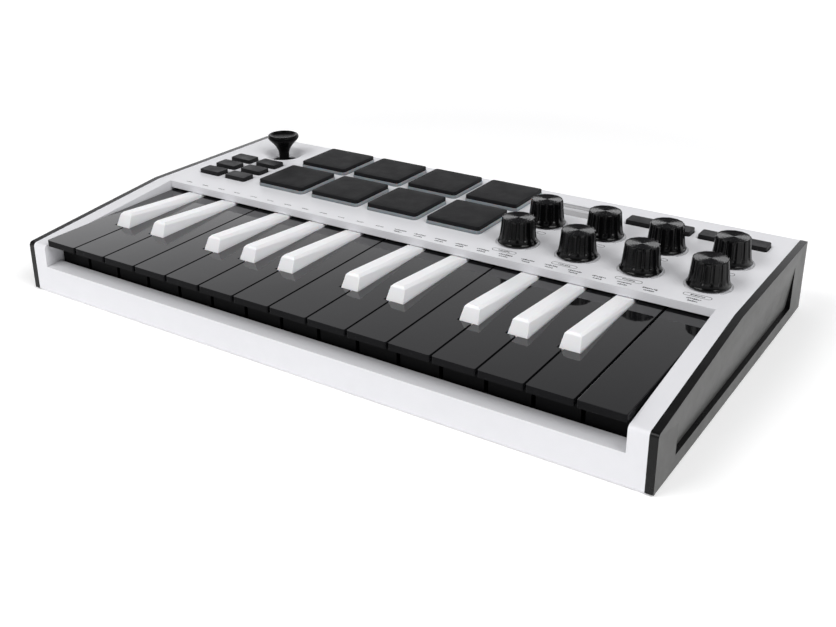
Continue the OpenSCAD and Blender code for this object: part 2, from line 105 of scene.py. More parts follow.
class Shader:
    """A Principled material and short ways to add nodes to it. Texture places are metres in the frame."""

    def __init__(self, name, **constants):
        self.material = bpy.data.materials.new(name)
        self.material.use_nodes = True
        self.tree = self.material.node_tree
        self.bsdf = self.tree.nodes["Principled BSDF"]
        for socket, value in constants.items():
            self.bsdf.inputs[socket.replace("_", " ")].default_value = value
        self.place = self.node("ShaderNodeTexCoord").outputs["Object"]

    def node(self, kind, inputs=(), **settings):
        made = self.tree.nodes.new(kind)
        for key, value in settings.items():
            setattr(made, key, value)
        for key, value in dict(inputs).items():
            self.feed(made.inputs[key], value)
        return made

    def feed(self, socket, value):
        if isinstance(value, bpy.types.NodeSocket):
            self.tree.links.new(value, socket)
        else:
            socket.default_value = value

    def noise(self, size, detail=3.0, roughness=0.5, place=None):
        """Noise whose blotches are about size metres wide, from 0 to 1."""
        return self.node("ShaderNodeTexNoise", {
            "Vector": place or self.place, "Scale": 1 / size, "Detail": detail, "Roughness": roughness,
        }).outputs["Fac"]

    def span(self, value, low, high, to_low=0.0, to_high=1.0):
        return self.node("ShaderNodeMapRange", {
            "Value": value, "From Min": low, "From Max": high, "To Min": to_low, "To Max": to_high,
        }).outputs["Result"]

    def maths(self, operation, a, b=0.0):
        made = self.node("ShaderNodeMath", operation=operation)
        self.feed(made.inputs[0], a)
        self.feed(made.inputs[1], b)
        return made.outputs[0]

    def mix(self, share, a, b):
        colour_a, colour_b, colour_out = 6, 7, 2
        made = self.node("ShaderNodeMix", data_type="RGBA")
        self.feed(made.inputs["Factor"], share)
        for index, value in ((colour_a, a), (colour_b, b)):
            colour = value if isinstance(value, bpy.types.NodeSocket) else (*value, 1.0)
            self.feed(made.inputs[index], colour)
        return made.outputs[colour_out]

    def edges(self, low=0.52, high=0.60):
        """From 0 on flat faces to 1 on convex edges."""
        return self.span(self.node("ShaderNodeNewGeometry").outputs["Pointiness"], low, high)

    def bump(self, height, depth, strength=1.0, normal=None):
        made = self.node("ShaderNodeBump", {"Height": height, "Distance": depth, "Strength": strength})
        if normal:
            self.feed(made.inputs["Normal"], normal)
        return made.outputs["Normal"]

    def set(self, **sockets):
        for socket, value in sockets.items():
            self.feed(self.bsdf.inputs[socket.replace("_", " ")], value)


def shade(colour, by):
    return tuple(min(c * by, 1.0) for c in colour)


def moulded(name, colour, rough, grain=0.3 * MM, depth=0.006 * MM, mottle=0.03, wear=1.2, rough_swing=0.05,
            smudge=0.0, **constants):
    """Moulded plastic or rubber: a fine surface grain, faint mottling, edges rubbed lighter and smoother."""
    s = Shader(name, **constants)
    broad = s.noise(45 * MM, 4)
    patches = s.noise(9 * MM, 5, 0.6)
    fine = s.noise(grain, 2, 0.6)
    base = s.mix(s.span(broad, 0.3, 0.7), shade(colour, 1 - mottle), shade(colour, 1 + mottle))
    base = s.mix(s.span(fine, 0.35, 0.65, 0, 0.25), base, shade(colour, 1 - 2 * mottle))
    edges = s.edges()
    rubbed = s.maths("MULTIPLY", edges, s.span(patches, 0.35, 0.7, 0.1, 0.8))
    s.set(Base_Color=s.mix(rubbed, base, shade(colour, wear)))
    roughness = s.maths("ADD", s.span(patches, 0.3, 0.7, rough - rough_swing, rough + rough_swing),
                        s.span(s.noise(22 * MM, 6, 0.7), 0.55, 0.7, 0, smudge))
    s.set(Roughness=s.maths("SUBTRACT", roughness, s.maths("MULTIPLY", rubbed, 0.05)))
    s.set(Normal=s.bump(fine, depth))
    return s.material


def gloss_key_material(name, level, coat):
    """Polished black plastic with a faint ripple from moulding, light dust and finger smears."""
    s = Shader(name, Specular_IOR_Level=level, Coat_Weight=coat, Coat_Roughness=0.03)
    broad = s.noise(60 * MM, 3)
    smear = s.noise(26 * MM, 6, 0.72)
    dust = s.noise(0.55 * MM, 2, 0.5)
    specks = s.span(dust, 0.74, 0.80, 0, 0.25)
    base = s.mix(s.span(broad, 0.3, 0.7), (0.0045, 0.0045, 0.005), (0.0070, 0.0070, 0.0078))
    s.set(Base_Color=s.mix(specks, base, (0.05, 0.05, 0.05)))
    s.set(Roughness=s.maths("ADD", s.span(smear, 0.45, 0.75, 0.04, 0.11), s.maths("MULTIPLY", specks, 0.4)))
    ripple = s.bump(s.noise(14 * MM, 1), 0.012 * MM)
    s.set(Normal=s.bump(dust, 0.0012 * MM, 1.0, ripple))
    return s.material


def spun_top_material():
    """Black knob top with fine turned rings, which catch the light as two opposite fans."""
    s = Shader("knob_top_spun", Specular_IOR_Level=0.4)
    s.set(Base_Color=s.mix(s.noise(2 * MM, 3), (0.004, 0.004, 0.0045), (0.008, 0.008, 0.009)))
    s.set(Roughness=s.span(s.noise(1.2 * MM, 4), 0.3, 0.7, 0.13, 0.19))
    s.set(Normal=s.bump(s.noise(0.6 * MM, 1), 0.0008 * MM))
    return s.material


def glass_material():
    """Dark polished display window over an unlit screen, with a faint pixel grid below."""
    s = Shader("display_glass", Coat_Weight=1.0, Coat_Roughness=0.02, Specular_IOR_Level=0.6)
    grid = s.node("ShaderNodeTexChecker", {"Vector": s.place, "Scale": 1 / (0.25 * MM)}).outputs["Fac"]
    smear = s.noise(12 * MM, 5, 0.7)
    s.set(Base_Color=s.mix(s.maths("MULTIPLY", grid, 0.35), (0.006, 0.007, 0.009), (0.012, 0.013, 0.017)))
    s.set(Roughness=s.span(smear, 0.4, 0.8, 0.03, 0.10))
    s.set(Normal=s.bump(s.noise(8 * MM, 1), 0.003 * MM))
    return s.material


def frosted_material():
    """Frosted translucent silicone, milky grey, slightly see-through at its edges."""
    s = Shader("pad_rim_frosted", Subsurface_Weight=0.35, Subsurface_Scale=0.002, Specular_IOR_Level=0.35)
    cloud = s.noise(6 * MM, 4)
    fine = s.noise(0.2 * MM, 2)
    base = s.mix(s.span(cloud, 0.3, 0.7), (0.17, 0.19, 0.205), (0.21, 0.235, 0.25))
    s.set(Base_Color=s.mix(s.edges(0.5, 0.62), base, (0.33, 0.36, 0.38)))
    s.set(Roughness=s.span(fine, 0.3, 0.7, 0.5, 0.62))
    s.set(Normal=s.bump(fine, 0.006 * MM))
    return s.material


def metal_material(name, colour, rough, lines=0.15 * MM):
    """Plated metal with faint drawing lines and duller patches."""
    s = Shader(name, Metallic=1.0)
    stretched = s.node("ShaderNodeMapping", {"Vector": s.place, "Scale": (1, 1, 12)}).outputs["Vector"]
    streaks = s.noise(lines * 6, 3, 0.6, stretched)
    patches = s.noise(3 * MM, 4)
    s.set(Base_Color=s.mix(patches, shade(colour, 0.86), shade(colour, 1.08)))
    s.set(Roughness=s.span(streaks, 0.3, 0.7, rough - 0.06, rough + 0.08))
    s.set(Normal=s.bump(streaks, 0.003 * MM))
    return s.material


def board_material():
    """Solder mask over copper tracks and pads, on a glass-fibre board."""
    s = Shader("circuit_board", Coat_Weight=0.3, Coat_Roughness=0.2)
    cells = s.node("ShaderNodeTexBrick", {
        "Vector": s.place, "Scale": 1 / (9 * MM), "Mortar Size": 0.035,
        "Brick Width": 0.7, "Row Height": 0.22,
        "Color1": (0, 0, 0, 1), "Color2": (0.1, 0.1, 0.1, 1), "Mortar": (1, 1, 1, 1),
    }).outputs["Color"]
    dots = s.node("ShaderNodeTexVoronoi", {"Vector": s.place, "Scale": 1 / (2.6 * MM)}).outputs["Distance"]
    pads = s.span(dots, 0.10, 0.14, 1, 0)
    mask = s.mix(s.noise(20 * MM, 3), (0.008, 0.045, 0.022), (0.012, 0.065, 0.032))
    tracks = s.mix(s.maths("MULTIPLY", cells, 0.6), mask, (0.02, 0.11, 0.05))
    s.set(Base_Color=s.mix(pads, tracks, (0.45, 0.42, 0.36)))
    s.set(Roughness=s.span(pads, 0, 1, 0.42, 0.28))
    s.set(Normal=s.bump(cells, 0.03 * MM))
    return s.material


def make_materials():
    return {
        "case": moulded("case_satin_white", (0.75, 0.75, 0.775), 0.42, grain=0.35 * MM, depth=0.004 * MM,
                        mottle=0.012, wear=1.03, rough_swing=0.04, smudge=0.05, Specular_IOR_Level=0.4),
        # Painted light: the cheeks are one black plastic. The outer faces get a lighter grey standing in for
        # the side light they reflect, and the tops and edges near-black standing in for the dark ceiling they
        # reflect.
        "cheek": moulded("cheek_satin_grey", (0.066, 0.066, 0.064), 0.46, grain=0.45 * MM, depth=0.008 * MM,
                         mottle=0.06, wear=1.2, rough_swing=0.05, smudge=0.06, Specular_IOR_Level=0.3),
        "cheek_edge": moulded("cheek_polished_black", (0.005, 0.005, 0.005), 0.24, grain=0.45 * MM,
                              depth=0.003 * MM, mottle=0.2, wear=1.5, rough_swing=0.06, smudge=0.08,
                              Specular_IOR_Level=0.2),
        # Painted shade: the key's black plastic made darker and barely reflective under the lip, standing in
        # for the shade of the recess under the keys.
        "skirt": moulded("key_skirt_painted_shade", (0.002, 0.002, 0.0022), 0.45, grain=0.3 * MM, depth=0.004 * MM,
                         mottle=0.2, wear=1.3, Specular_IOR_Level=0.06),
        "base": moulded("base_matte_black", (0.022, 0.022, 0.023), 0.62, grain=0.6 * MM, depth=0.03 * MM,
                        mottle=0.1, wear=1.5),
        "frame": moulded("frame_black", (0.018, 0.018, 0.019), 0.5, mottle=0.1, wear=1.4),
        "white_key": moulded("key_satin_white", (0.83, 0.83, 0.845), 0.34, grain=0.5 * MM, depth=0.002 * MM,
                             mottle=0.01, wear=1.06, rough_swing=0.03, smudge=0.02, Subsurface_Weight=0.08,
                             Subsurface_Scale=0.001),
        "pad": moulded("pad_matte_rubber", (0.0235, 0.0235, 0.0275), 0.72, grain=0.16 * MM, depth=0.010 * MM,
                       mottle=0.07, wear=1.12, smudge=0.06, Specular_IOR_Level=0.16),
        # Painted shade: the pad's own rubber, darker and duller, for the upright sides, standing in for the
        # shade there.
        "pad_side_shaded": moulded("pad_side_painted_shade", (0.006, 0.006, 0.007), 0.6, grain=0.16 * MM, depth=0.010 * MM,
                            mottle=0.15, wear=1.3, Specular_IOR_Level=0.12),
        "button": moulded("button_rubber", (0.0055, 0.0055, 0.006), 0.50, grain=0.14 * MM, depth=0.010 * MM,
                          mottle=0.16, wear=1.5, rough_swing=0.08, smudge=0.06, Specular_IOR_Level=0.2),
        # Painted reflection: the same rubber, lighter on the inner top, standing in for the sheen that the
        # flat tops reflect.
        "button_top": moulded("button_top_painted_sheen", (0.019, 0.019, 0.021), 0.48, grain=0.14 * MM,
                              depth=0.012 * MM, mottle=0.22, wear=1.2, rough_swing=0.1, smudge=0.1,
                              Specular_IOR_Level=0.12),
        "knob": moulded("knob_gloss_black", (0.0018, 0.0018, 0.002), 0.15, grain=0.8 * MM, depth=0.002 * MM,
                        mottle=0.2, wear=1.6, rough_swing=0.04, smudge=0.05, Specular_IOR_Level=0.22),
        "stick": moulded("stick_rubber_black", (0.0025, 0.0025, 0.0027), 0.26, grain=0.5 * MM,
                         depth=0.003 * MM, mottle=0.2, wear=1.8, rough_swing=0.05, smudge=0.06,
                         Specular_IOR_Level=0.05),
        "foot": moulded("foot_rubber", (0.02, 0.02, 0.021), 0.8, grain=0.5 * MM, depth=0.03 * MM,
                        mottle=0.15),
        "print": moulded("panel_ink", (0.03, 0.03, 0.034), 0.55, grain=0.1 * MM, depth=0.002 * MM,
                         mottle=0.12, wear=1.2),
        "ring": moulded("panel_ring_ink", (0.12, 0.12, 0.125), 0.55, grain=0.1 * MM, depth=0.002 * MM,
                        mottle=0.08, wear=1.1),
        # Painted reflection: a pale grey standing in for the light band reflected across the display window.
        "display_reflection": moulded("display_painted_reflection_grey", (0.50, 0.50, 0.52), 0.35, grain=0.2 * MM, depth=0.003 * MM,
                         mottle=0.04, wear=1.05),
        "socket": moulded("socket_plastic", (0.012, 0.012, 0.013), 0.4, mottle=0.12, wear=1.5),
        "key": gloss_key_material("key_gloss_black", 0.5, 0.35),
        # Painted shade: the same key black with its reflection turned far down, for the lips, sides and
        # rounded edges, so they read dark as if in shade.
        "key_front": gloss_key_material("key_front_black", 0.05, 0.0),
        "spun": spun_top_material(),
        "glass": glass_material(),
        "rim": frosted_material(),
        "screw": metal_material("screw_zinc", (0.55, 0.55, 0.57), 0.34),
        "shell": metal_material("socket_shell", (0.62, 0.62, 0.64), 0.28),
        "board": board_material(),
    }


# ---- mesh building ----

def add_piece(name, bm, material, body, stands_for=(), sharp=35.0, weighted=False):
    """Makes bm an object that rides on body. Edges sharper than the angle stay sharp."""
    bmesh.ops.recalc_face_normals(bm, faces=bm.faces)
    for face in bm.faces:
        face.smooth = True
    for edge in bm.edges:
        edge.smooth = edge.calc_face_angle(0) < math.radians(sharp)
    mesh = bpy.data.meshes.new(name)
    bm.to_mesh(mesh)
    bm.free()
    for m in material if isinstance(material, (list, tuple)) else [material]:
        mesh.materials.append(m)
    piece = bpy.data.objects.new(name, mesh)
    bpy.context.scene.collection.objects.link(piece)
    if weighted:
        normals = piece.modifiers.new("weighted", "WEIGHTED_NORMAL")
        normals.keep_sharp = True
        normals.weight = 100
    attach(piece, body)
    if stands_for:
        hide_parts(*stands_for)
    return piece


def circle_ring(middle, radius, z, count):
    return [Vector((middle.x + radius * math.cos(TAU * i / count),
                    middle.y + radius * math.sin(TAU * i / count), z)) for i in range(count)]


def rect_ring(middle, width, depth, corner, z, per_corner=6):
    """Points round a rectangle with round corners."""
    points = []
    for quarter, (sx, sy) in enumerate(((1, 1), (-1, 1), (-1, -1), (1, -1))):
        hub = Vector((middle.x + sx * (width / 2 - corner), middle.y + sy * (depth / 2 - corner), z))
        for i in range(per_corner + 1):
            a = (quarter + i / per_corner) * math.pi / 2
            points.append(hub + Vector((math.cos(a), math.sin(a), 0)) * corner)
    return points


def loft(bm, rings, joined=False):
    """A skin through rings of equal count, closed at both ends or joined from the last to the first."""
    loops = [[bm.verts.new(p) for p in ring] for ring in rings]
    pairs = list(zip(loops, loops[1:])) + ([(loops[-1], loops[0])] if joined else [])
    count = len(loops[0])
    for a, b in pairs:
        for i in range(count):
            bm.faces.new((a[i], a[(i + 1) % count], b[(i + 1) % count], b[i]))
    if not joined:
        bm.faces.new(loops[0][::-1])
        bm.faces.new(loops[-1])


def quarter_round(radius, steps=5):
    """(inset, rise) pairs from the side to the top of a rounded edge."""
    return [(radius * (1 - math.cos(a)), radius * math.sin(a))
            for a in (math.pi / 2 * i / steps for i in range(steps + 1))]


def rounded_cap(middle, width, depth, corner, low, high, edge, crown=0.0, shrink=(0.75, 0.5, 0.25)):
    """Rings of a cap from low up: straight sides, a rounded top edge and a slightly crowned top."""
    rings = [rect_ring(middle, width, depth, corner, low)]
    shoulder = high - crown - edge
    for inset, rise in quarter_round(edge):
        rings.append(rect_ring(middle, width - 2 * inset, depth - 2 * inset, max(corner - inset, 0.1 * MM),
                               shoulder + rise))
    for share in shrink:
        inset = edge + (1 - share) * (min(width, depth) / 2 - edge - 0.2 * MM)
        rings.append(rect_ring(middle, width - 2 * inset, depth - 2 * inset,
                               min(max(corner - inset, 0.1 * MM), corner), high - crown * share ** 2))
    return rings


def smooth_profile(points, steps=6):
    """A smooth curve through (radius, height) points."""
    out = []
    for i in range(len(points) - 1):
        p = [points[max(min(i + k, len(points) - 1), 0)] for k in (-1, 0, 1, 2)]
        for j in range(steps):
            t = j / steps
            out.append(tuple(
                0.5 * (2 * p[1][k] + (p[2][k] - p[0][k]) * t
                       + (2 * p[0][k] - 5 * p[1][k] + 4 * p[2][k] - p[3][k]) * t * t
                       + (3 * p[1][k] - p[0][k] - 3 * p[2][k] + p[3][k]) * t ** 3)
                for k in (0, 1)))
    return out + [points[-1]]


def cad_copy(node):
    """The CAD node's mesh with its flat faces made whole."""
    bm = bmesh.new()
    bm.from_mesh(frame["nodes"][node].data)
    bmesh.ops.remove_doubles(bm, verts=bm.verts, dist=WELD_GAP)
    bmesh.ops.dissolve_limit(bm, angle_limit=FLAT_ANGLE, verts=bm.verts, edges=bm.edges)
    return bm


def round_edges(bm, chosen, width, segments=3, least=15.0):
    edges = [e for e in bm.edges
             if len(e.link_faces) == 2 and e.calc_face_angle(0) > math.radians(least) and chosen(e)]
    bmesh.ops.bevel(bm, geom=edges, offset=width, offset_type="OFFSET", segments=segments, profile=0.5,
                    affect="EDGES", clamp_overlap=True, loop_slide=True)


def middle_of(edge):
    return (edge.verts[0].co + edge.verts[1].co) / 2


def convex(edge):
    return edge.calc_face_angle_signed(0) > 0


# ---- the case ----

def make_top_case(m):
    bm = cad_copy("top_case")
    key_wall = CASE_HI.x - 7.7 * MM
    front, rear, side = CASE_LO.y, CASE_HI.y, CASE_HI.x
    stick = centre("joystick_stick")

    def outside(edge):
        c = middle_of(edge)
        across = abs(edge.verts[0].co.x - edge.verts[1].co.x) > 50 * MM
        if abs(c.z - PANEL_Z) < HAIR:
            return abs(abs(c.x) - side) < HAIR or abs(c.y - rear) < HAIR or across
        if abs(c.y - front) < HAIR or abs(c.y - rear) < HAIR:
            return across or abs(abs(c.x) - key_wall) < HAIR
        if abs(abs(c.x) - key_wall) < HAIR and c.y < -8 * MM and c.z > BASE_Z + 12 * MM:
            return True
        return across and c.y < -2 * MM and c.z > BASE_Z + 20 * MM

    def dish_rim(edge):
        c = middle_of(edge)
        return abs(c.z - PANEL_Z) < HAIR and 10 * MM < (c.xy - stick.xy).length < 12 * MM

    round_edges(bm, dish_rim, 1.8 * MM, 5, least=5)
    round_edges(bm, lambda e: outside(e) and convex(e), 0.55 * MM, 3)
    nose_r = 2 * MM
    nose_z = BASE_Z + 23.8 * MM - nose_r
    for v in bm.verts:
        if v.co.y < front - HAIR:
            v.co.y = front + nose_r - math.sqrt(max(nose_r ** 2 - (v.co.z - nose_z) ** 2, 0))
    add_piece("top_shell", bm, m["case"], "case", ["top_case"], sharp=40, weighted=True)


def make_cheeks(m):
    bm = cad_copy("end_cheeks")
    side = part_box("end_cheeks")[1].x
    round_edges(bm, lambda e: abs(abs(middle_of(e).x) - side) < HAIR and convex(e), 0.6 * MM, 4)
    for face in bm.faces:
        # Painted light: outer faces take the lighter grey, and tops and edges take the near-black, by which
        # way they face.
        face.material_index = 0 if abs(face.normal.x) > 0.9 else 1
    add_piece("side_cheeks", bm, [m["cheek"], m["cheek_edge"]], "case", ["end_cheeks"],
              sharp=40, weighted=True)


def make_base(m):
    bm = cad_copy("bottom_case")
    round_edges(bm, lambda e: middle_of(e).z < BASE_Z + HAIR and convex(e), 0.25 * MM, 2)
    add_piece("base_plate", bm, m["base"], "case", ["bottom_case"], sharp=40, weighted=True)


def make_feet(m):
    """Round feet with a bevelled rim and shallow grip rings."""
    lo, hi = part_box("rubber_feet")
    radius = 7 * MM
    bm = bmesh.new()
    for sx in (-1, 1):
        for sy in (-1, 1):
            spot = Vector((sx * (hi.x - radius), sy * (hi.y - radius), 0))
            shape = [(radius, hi.z), (radius, 0.5 * MM), (radius - 0.15 * MM, 0.15 * MM),
                     (radius - 0.5 * MM, 0)]
            for ring in (5.6, 4.2, 2.8):
                shape += [(ring * MM, 0), ((ring - 0.15) * MM, 0.2 * MM), ((ring - 0.55) * MM, 0.2 * MM),
                          ((ring - 0.7) * MM, 0)]
            loft(bm, [circle_ring(spot, r, z, 48) for r, z in shape])
    add_piece("feet", bm, m["foot"], "case", ["rubber_feet"], sharp=30)


# ---- keys ----

def make_naturals(m):
    """Polished key tops with rounded edges. Lips, sides and rounded edges get the key black with its
    reflection turned far down, and the skirts a darker, duller black, both as painted shade.
    """
    lip = 3 * MM
    for node in NATURALS:
        lo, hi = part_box(node)
        bm = cad_copy(node)
        lip_top = max(v.co.z for v in bm.verts if v.co.y < lo.y + HAIR)
        lip_low = lip_top - lip
        rear = max(v.co.y for v in bm.verts if v.co.z > hi.z - HAIR)
        slope = (hi.z - lip_top) / (rear - lo.y)

        def on_top(point):
            return point.z > lip_top + slope * (point.y - lo.y) - HAIR

        def shown(edge):
            a, b = (v.co for v in edge.verts)
            if on_top(a) and on_top(b):
                return min(a.y, b.y) < rear - HAIR
            at_front = max(a.y, b.y) < lo.y + 0.75 * MM
            return at_front and min(a.z, b.z) > lip_low - HAIR and abs(a.z - b.z) < HAIR

        def front_corner(edge):
            a, b = (v.co for v in edge.verts)
            return max(a.y, b.y) < lo.y + HAIR and abs(a.z - b.z) > lip / 2 and min(a.z, b.z) > lip_low - HAIR

        round_edges(bm, lambda e: front_corner(e) and convex(e), 0.75 * MM, 4)
        round_edges(bm, lambda e: shown(e) and convex(e), 0.62 * MM, 4)
        # Painted shade: flat tops take the gloss black, lips, sides and rounded edges the copy with
        # reflection turned down, and faces below the lip the darker skirt black.
        for face in bm.faces:
            below = face.calc_center_median().z < lip_low - HAIR
            face.material_index = 2 if below else 0 if face.normal.z > 0.97 else 1
        add_piece("key_" + node[-2:] + "_natural", bm, [m["key"], m["key_front"], m["skirt"]], node, [node],
                  sharp=40, weighted=True)


def make_sharps(m):
    for node in SHARPS:
        bm = cad_copy(node)
        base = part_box(node)[1].z - 14 * MM
        round_edges(bm, lambda e: middle_of(e).z > base and middle_of(e).y < -3.5 * MM and convex(e),
                    0.45 * MM, 3, least=12)
        add_piece("key_" + node[-2:] + "_sharp", bm, m["white_key"], node, [node], sharp=40,
                  weighted=True)


# ---- pads and buttons ----

def make_pads(m):
    """A black cap on a frosted base of the same outline, with the flange that holds it under the panel."""
    cap_width, base_width, base_rise = 28.7 * MM, 29.2 * MM, 1.5 * MM
    corner, top_edge = 1.5 * MM, 0.35 * MM
    for node in PADS:
        lo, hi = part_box(node)
        spot = centre(node)
        flange = hi.x - lo.x
        base_z = PANEL_Z + base_rise
        top = bmesh.new()
        loft(top, rounded_cap(spot, cap_width, cap_width, corner, base_z - 0.4 * MM, hi.z, top_edge,
                              0.04 * MM))
        # Painted shade: upright sides take the darker copy of the pad rubber.
        for face in top.faces:
            face.material_index = 0 if abs(face.normal.z) > 0.6 else 1
        add_piece(node + "_top", top, [m["pad"], m["pad_side_shaded"]], node, [node], sharp=50)
        base = bmesh.new()
        rings = [rect_ring(spot, flange, flange, 3 * MM, lo.z),
                 rect_ring(spot, flange, flange, 3 * MM, UNDER_Z - 0.15 * MM),
                 rect_ring(spot, base_width, base_width, corner + 0.2 * MM, UNDER_Z - 0.15 * MM)]
        for inset, rise in quarter_round(0.12 * MM, 3):
            rings.append(rect_ring(spot, base_width - 2 * inset, base_width - 2 * inset,
                                   corner + 0.2 * MM - inset, base_z - 0.12 * MM + rise))
        inner = cap_width - 0.3 * MM
        rings.append(rect_ring(spot, inner, inner, corner, base_z))
        loft(base, rings)
        add_piece(node + "_rim", base, m["rim"], node, (), sharp=50)


def make_buttons(m):
    width, depth, corner, flange = 13.6 * MM, 8.2 * MM, 1.0 * MM, 1.4 * MM
    for node in BUTTONS:
        lo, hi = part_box(node)
        spot = centre(node)
        bm = bmesh.new()
        flange_z = UNDER_Z - 2 * MM
        rings = [rect_ring(spot, width + flange, depth + flange, corner + 0.5 * MM, flange_z),
                 rect_ring(spot, width + flange, depth + flange, corner + 0.5 * MM, flange_z + 1.85 * MM)]
        rings += rounded_cap(spot, width, depth, corner, flange_z + 1.85 * MM, hi.z, 0.3 * MM, 0.0,
                             (0.93, 0.85, 0.5, 0.2))
        loft(bm, rings)
        loft(bm, [circle_ring(spot, 2 * MM, z, 24) for z in (lo.z, flange_z + 0.2 * MM)])
        # Painted reflection: faces high on the top, inside the border, take the lighter top colour.
        for face in bm.faces:
            c = face.calc_center_median() - spot
            inside = abs(c.x) < width / 2 - 0.55 * MM and abs(c.y) < depth / 2 - 0.55 * MM
            face.material_index = 1 if inside and c.z + spot.z > hi.z - 0.1 * MM else 0
        add_piece(node + "_cap", bm, [m["button"], m["button_top"]], node, [node], sharp=50)


# ---- knobs and joystick ----

def make_knobs(m):
    """Fluted knobs: a flared skirt, round-bottomed flutes with milled ends, and a turned top."""
    flutes, steps = 14, 20
    flute_depth, flute_share = 0.62 * MM, 0.5
    tall, disc_r = 11.6 * MM, 6.9 * MM
    skirt = [(9.0, 0.0), (9.2, 0.18), (9.2, 0.42), (9.0, 0.75), (8.75, 1.1), (8.55, 1.6), (8.38, 2.2)]
    side = [(8.38 - 0.93 * t ** 0.8, 2.2 + 8.9 * t) for t in (i / 16 for i in range(1, 17))]
    top = [(7.40, 11.30), (7.30, 11.48), (7.14, 11.58), (7.02, 11.6), (6.98, 11.6), (6.94, 11.45)]
    count = flutes * steps
    flute_foot, foot_run = 2.5 * MM, 1.1 * MM

    def groove(angle):
        """1 in the middle of a flute, 0 on the rib between two."""
        across = abs((angle * flutes / TAU) % 1 - 0.5) * 2 / flute_share
        return math.sqrt(1 - across ** 2) if across < 1 else 0.0

    for node in KNOBS:
        lo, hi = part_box(node)
        spot = centre(node)
        foot = hi.z - tall
        bm = bmesh.new()
        rings = []
        for radius, height in skirt + side + top:
            run = min(max((height * MM - flute_foot) / foot_run, 0), 1)
            cut = flute_depth * math.sqrt(1 - (1 - run) ** 2)
            keep = radius * MM - disc_r - 0.04 * MM
            ring = []
            for i in range(count):
                a = TAU * i / count
                r = radius * MM - min(cut * groove(a), max(keep, 0))
                ring.append(Vector((spot.x + r * math.cos(a), spot.y + r * math.sin(a), foot + height * MM)))
            rings.append(ring)
        loft(bm, rings)
        loft(bm, [circle_ring(spot, 3 * MM, z, 32) for z in (lo.z, foot + 0.1 * MM)])
        add_piece(node + "_body", bm, m["knob"], node, [node], sharp=50)
        disc = bmesh.new()
        turns = 22
        low = hi.z - 0.17 * MM
        rings = [circle_ring(spot, disc_r, low - 0.2 * MM, 96)]
        for k in range(2 * turns):
            r = disc_r * (1 - k / (2 * turns))
            rings.append(circle_ring(spot, r, low + (0.10 if k % 2 else 0.055) * MM, 96))
        loft(disc, rings)
        add_piece(node + "_cap_disc", disc, m["spun"], node, (), sharp=8)


def make_joystick(m):
    lo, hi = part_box("joystick_stick")
    spot = centre("joystick_stick")
    pivot_z = lo.z + 3.2 * MM
    top = hi.z
    up = PANEL_Z
    cap_r, pin_r, pin_sides = 8.7 * MM, 1.4 * MM, 32
    outline = smooth_profile([
        (3.4 * MM, lo.z), (3.4 * MM, pivot_z + 2 * MM), (2.9 * MM, UNDER_Z - 2 * MM),
        (2.9 * MM, up + 0.6 * MM), (3.7 * MM, up + 3.2 * MM), (5.5 * MM, up + 6 * MM),
        (7.9 * MM, top - 3.0 * MM), (8.65 * MM, top - 1.8 * MM), (cap_r, top - 1.0 * MM),
        (8.3 * MM, top - 0.25 * MM), (7.6 * MM, top), (6.9 * MM, top - 0.2 * MM),
        (6.4 * MM, top - 0.85 * MM), (4.8 * MM, top - 1.3 * MM), (2.2 * MM, top - 1.5 * MM),
        (0.4 * MM, top - 1.55 * MM)])
    bm = bmesh.new()
    loft(bm, [circle_ring(spot, min(r, cap_r), min(z, top), 96) for r, z in outline])
    pin = (hi.y - lo.y) / 2
    for sign in (-1, 1):
        ends = [(3.0 * MM, pin_r), (pin - 0.2 * MM, pin_r), (pin, 1.2 * MM)]
        loft(bm, [[Vector((spot.x + r * math.cos(TAU * i / pin_sides), spot.y + sign * y,
                           pivot_z + r * math.sin(TAU * i / pin_sides))) for i in range(pin_sides)]
                  for y, r in ends])
    add_piece("thumb_stick", bm, m["stick"], "joystick_stick", ["joystick_stick"], sharp=45)
    dress("joystick_gimbal", m["frame"])


# ---- electronics, screws and inner parts ----

def dress(node, material):
    """Gives a CAD node its finish and lets its edges catch the light."""
    obj = frame["nodes"][node]
    obj.data.materials.clear()
    obj.data.materials.append(material)
    weld = obj.modifiers.new("weld", "WELD")
    weld.merge_threshold = WELD_GAP
    bevel = obj.modifiers.new("edge", "BEVEL")
    bevel.width, bevel.segments = 0.12 * MM, 2
    bevel.limit_method, bevel.angle_limit = "ANGLE", math.radians(40)


def make_electronics(m):
    """The CAD's boards and sockets, split by what each is made of."""
    usb = [x["pos_m"] for x in frame["record"]["mounts"] if x["name"] == "usb_socket"][0]
    jack = [x["pos_m"] for x in frame["record"]["mounts"] if x["name"] == "pedal_jack"][0]
    display_lo = UNDER_Z - 6 * MM
    bm = cad_copy("electronics")

    def kind(face):
        c = face.calc_center_median()
        if c.y > 60 * MM and abs(c.x - usb[0]) < 7.5 * MM and BASE_Z + 7 * MM < c.z < BASE_Z + 20 * MM:
            return 1
        if c.y > 60 * MM and abs(c.x - jack[0]) < 9 * MM and BASE_Z + 7 * MM < c.z < BASE_Z + 22 * MM:
            return 2
        flat = abs(face.normal.z) > 0.9 and face.calc_area() > 400 * MM * MM
        return 0 if flat or c.z < display_lo - 1.2 * MM else 3

    for face in bm.faces:
        face.material_index = kind(face)
    add_piece("boards_and_sockets", bm, [m["board"], m["shell"], m["socket"], m["frame"]], "case",
              ["electronics"], sharp=30)


DISPLAY = Vector((57.5, 69.0, 0)) * MM
DISPLAY_SIZE = Vector((32.8, 14.8, 0)) * MM


